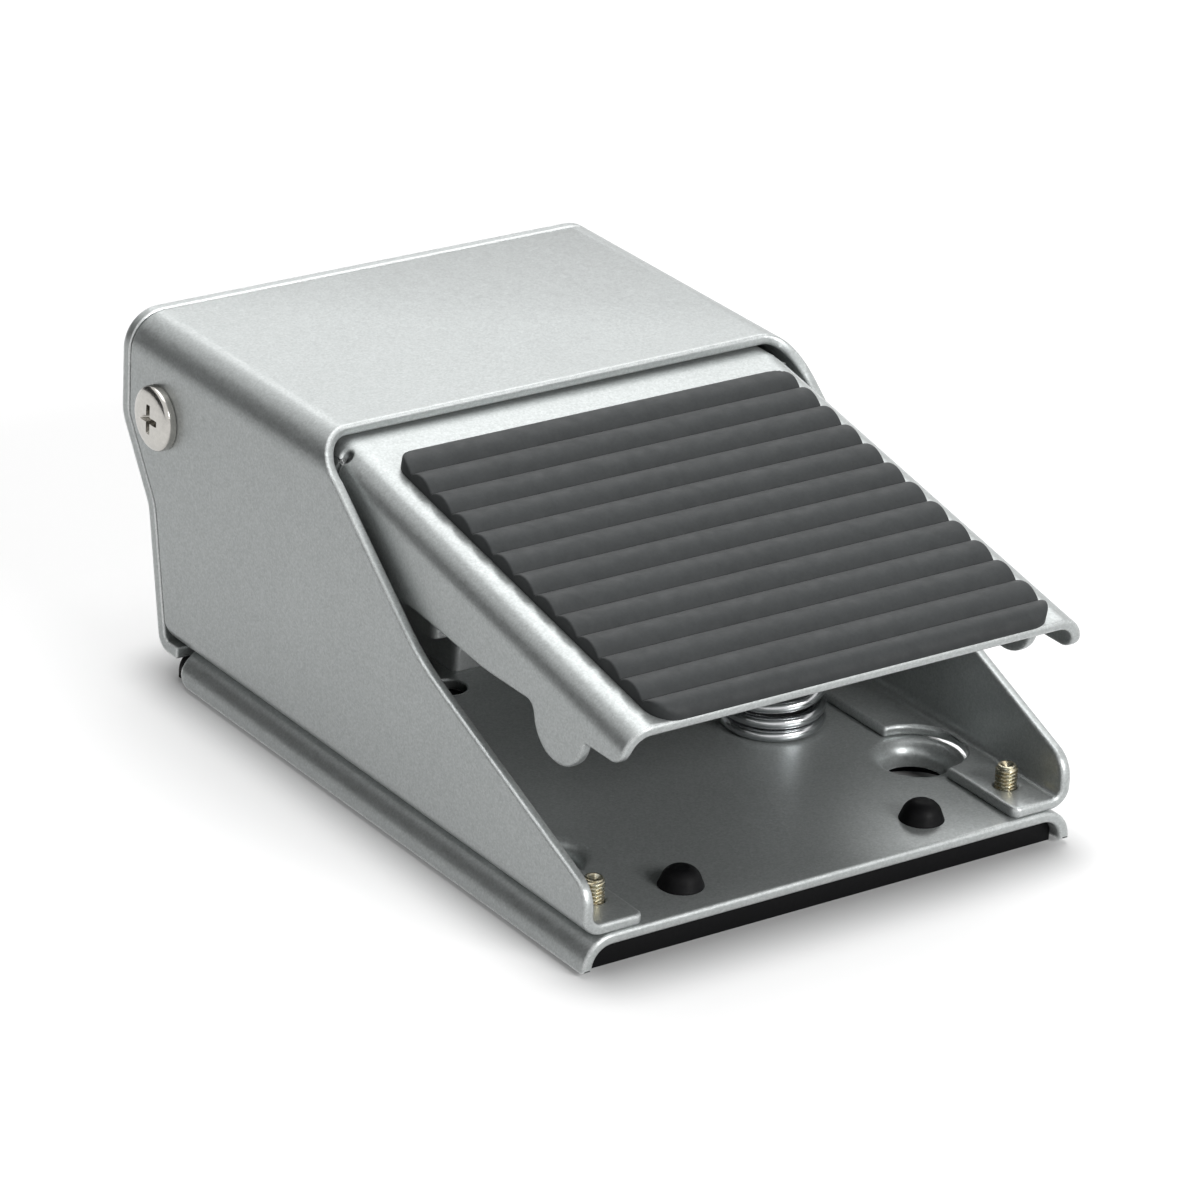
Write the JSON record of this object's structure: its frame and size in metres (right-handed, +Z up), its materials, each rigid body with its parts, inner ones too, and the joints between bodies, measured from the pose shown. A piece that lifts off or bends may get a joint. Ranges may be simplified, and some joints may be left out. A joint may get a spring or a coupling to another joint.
{
  "type": "foot pedal air valve",
  "caption": "Low foot pedal with a ribbed rubber pad that tips under a bent sheet cover and presses an upright air valve on a base with rolled sides.",
  "frame": {"origin": "on the floor, at the middle of the rubber foot's underside", "axes": "+X to the pedal user's right, +Y to the rear where the air ports are, toe end at -Y, +Z up"},
  "size_m": [0.11, 0.1561, 0.0662],
  "materials": {
    "powder_coat": "fine powder coat, light grey, semi-gloss",
    "black_rubber": "matt",
    "nickel_steel": "nickel plated",
    "spring_steel": "bright drawn wire",
    "zinc_yellow": "yellow zinc plated",
    "moulded_black": "moulded",
    "valve_alloy": "blasted",
    "brass": "turned",
    "seal_rubber": "smooth"
  },
  "bodies": {
    "frame": {"base_plate": "powder_coat", "rubber_foot": "black_rubber", "cover": "powder_coat", "pivot_shaft": "nickel_steel", "pivot_screws": "nickel_steel", "pedal_spring": "spring_steel", "spring_seat_lower": "moulded_black", "cover_screws": "zinc_yellow", "valve_screws": "nickel_steel", "valve_foot": "valve_alloy", "valve_body": "valve_alloy", "valve_gland": "brass", "stem_seal": "seal_rubber", "bottom_plug": "brass", "plug_seal": "seal_rubber", "valve_spring": "spring_steel"},
    "treadle": {"pedal": "powder_coat", "pedal_pad": "black_rubber", "pivot_bushes": "moulded_black", "spring_seat_upper": "moulded_black"},
    "spool": {"valve_spool": "brass", "spool_seals": "seal_rubber", "plunger_cap": "moulded_black"}
  },
  "joints": [
    {"name": "pedal_pivot", "type": "hinge", "parent": "frame", "child": "treadle", "pos_m": [0, 0.071, 0.0502], "axis": [1, 0, 0], "range_deg": [0, 10.8], "stiffness_Nm_per_rad": 3, "springref_deg": -11.46, "deforming": ["pedal_spring"]},
    {"name": "spool_slide", "type": "slide", "parent": "frame", "child": "spool", "axis": [0, 0, -1], "range_m": [0, 0.0046], "deforming": ["valve_spring"]}
  ],
  "couplings": [
    {"joint": "spool_slide", "follows": "pedal_pivot", "m_per_rad": 0.024}
  ]
}
